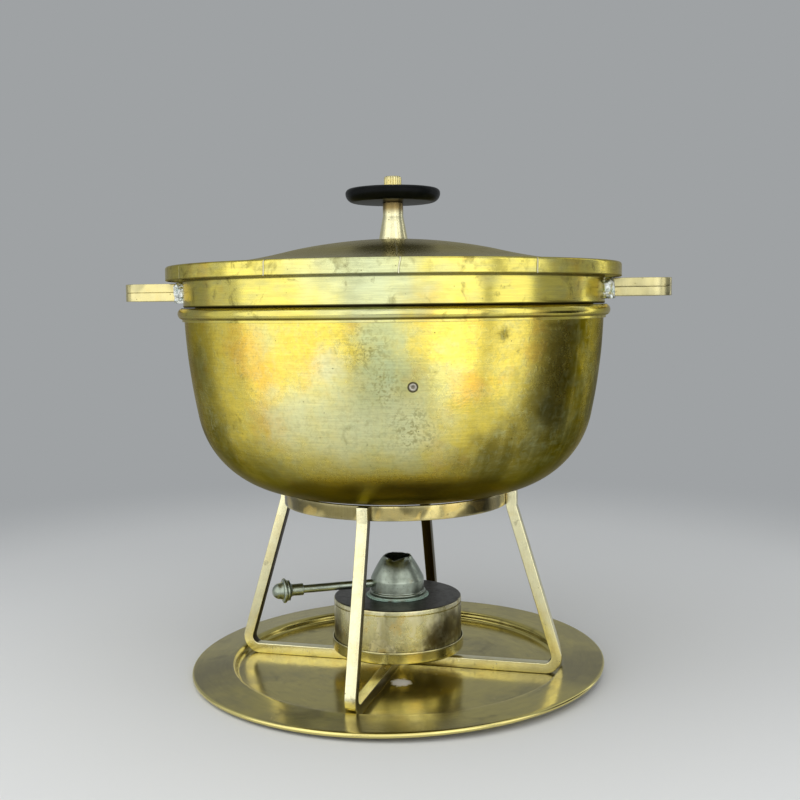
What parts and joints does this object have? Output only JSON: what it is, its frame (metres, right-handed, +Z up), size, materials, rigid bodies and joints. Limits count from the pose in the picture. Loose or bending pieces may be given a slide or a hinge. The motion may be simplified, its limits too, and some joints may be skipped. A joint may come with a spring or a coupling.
{
  "type": "chafing dish",
  "caption": "Round brass chafing dish: domed lift-off lid, food pan with bar handles over a water pan, bent-bar stand, spirit burner with a lever, and a drip tray.",
  "frame": {"origin": "centre of the tray's underside, on the table", "axes": "+Z up, +X towards the right handle, -Y towards the front"},
  "size_m": [0.387, 0.3212, 0.3554],
  "materials": {
    "pan_brass": "aged satin brass with spin marks and patchy tarnish",
    "tray_brass": "dull scratched brass",
    "bar_brass": "bright rubbed brass bar",
    "burner_brass": "stained brass sheet",
    "scorched_plate": "heat-darkened brass",
    "worn_nickel": "worn dull nickel plate over brass",
    "solder": "lumpy soft solder",
    "plain_steel": "plain steel",
    "black_phenolic": "polished black",
    "packing_wool": "packed fibre"
  },
  "bodies": {
    "tray": {"tray": "tray_brass"},
    "stand": {"support_ring": "bar_brass", "leg_bar_lower": "bar_brass", "leg_bar_upper": "bar_brass", "cup_boss": "bar_brass", "burner_cup": "burner_brass", "cup_screw": "plain_steel"},
    "burner": {"font_can": "burner_brass", "font_top_plate": "scorched_plate", "burner_collar": "worn_nickel", "throat_gauze": "plain_steel", "wool_packing": "packing_wool"},
    "regulator": {"flame_cone": "worn_nickel", "lever_rod": "worn_nickel", "lever_knob": "worn_nickel"},
    "water_pan": {"water_pan": "pan_brass", "rim_bead": "pan_brass", "wall_rivet": "solder"},
    "food_pan": {"food_pan": "pan_brass", "handle_left_lower": "bar_brass", "handle_left_upper": "bar_brass", "handle_right_lower": "bar_brass", "handle_right_upper": "bar_brass", "handle_solder": "solder"},
    "lid": {"lid_shell": "pan_brass", "knob_stem": "bar_brass", "knob_disc": "black_phenolic", "knob_cap": "bar_brass", "knob_stud": "plain_steel", "stud_washer": "plain_steel", "stud_nut": "plain_steel"}
  },
  "joints": [
    {"name": "stand_lift", "type": "slide", "parent": "tray", "child": "stand", "axis": [0, 0, 1], "range_m": [0, 0.05]},
    {"name": "burner_lift", "type": "slide", "parent": "stand", "child": "burner", "axis": [0, 0, 1], "range_m": [0, 0.025]},
    {"name": "regulator_turn", "type": "hinge", "parent": "burner", "child": "regulator", "pos_m": [0, 0, 0.054], "axis": [0, 0, 1], "range_deg": [-15, 48]},
    {"name": "water_pan_lift", "type": "slide", "parent": "stand", "child": "water_pan", "axis": [0, 0, 1], "range_m": [0, 0.06]},
    {"name": "food_pan_lift", "type": "slide", "parent": "water_pan", "child": "food_pan", "axis": [0, 0, 1], "range_m": [0, 0.16]},
    {"name": "lid_lift", "type": "slide", "parent": "food_pan", "child": "lid", "axis": [0, 0, 1], "range_m": [0, 0.1]}
  ]
}
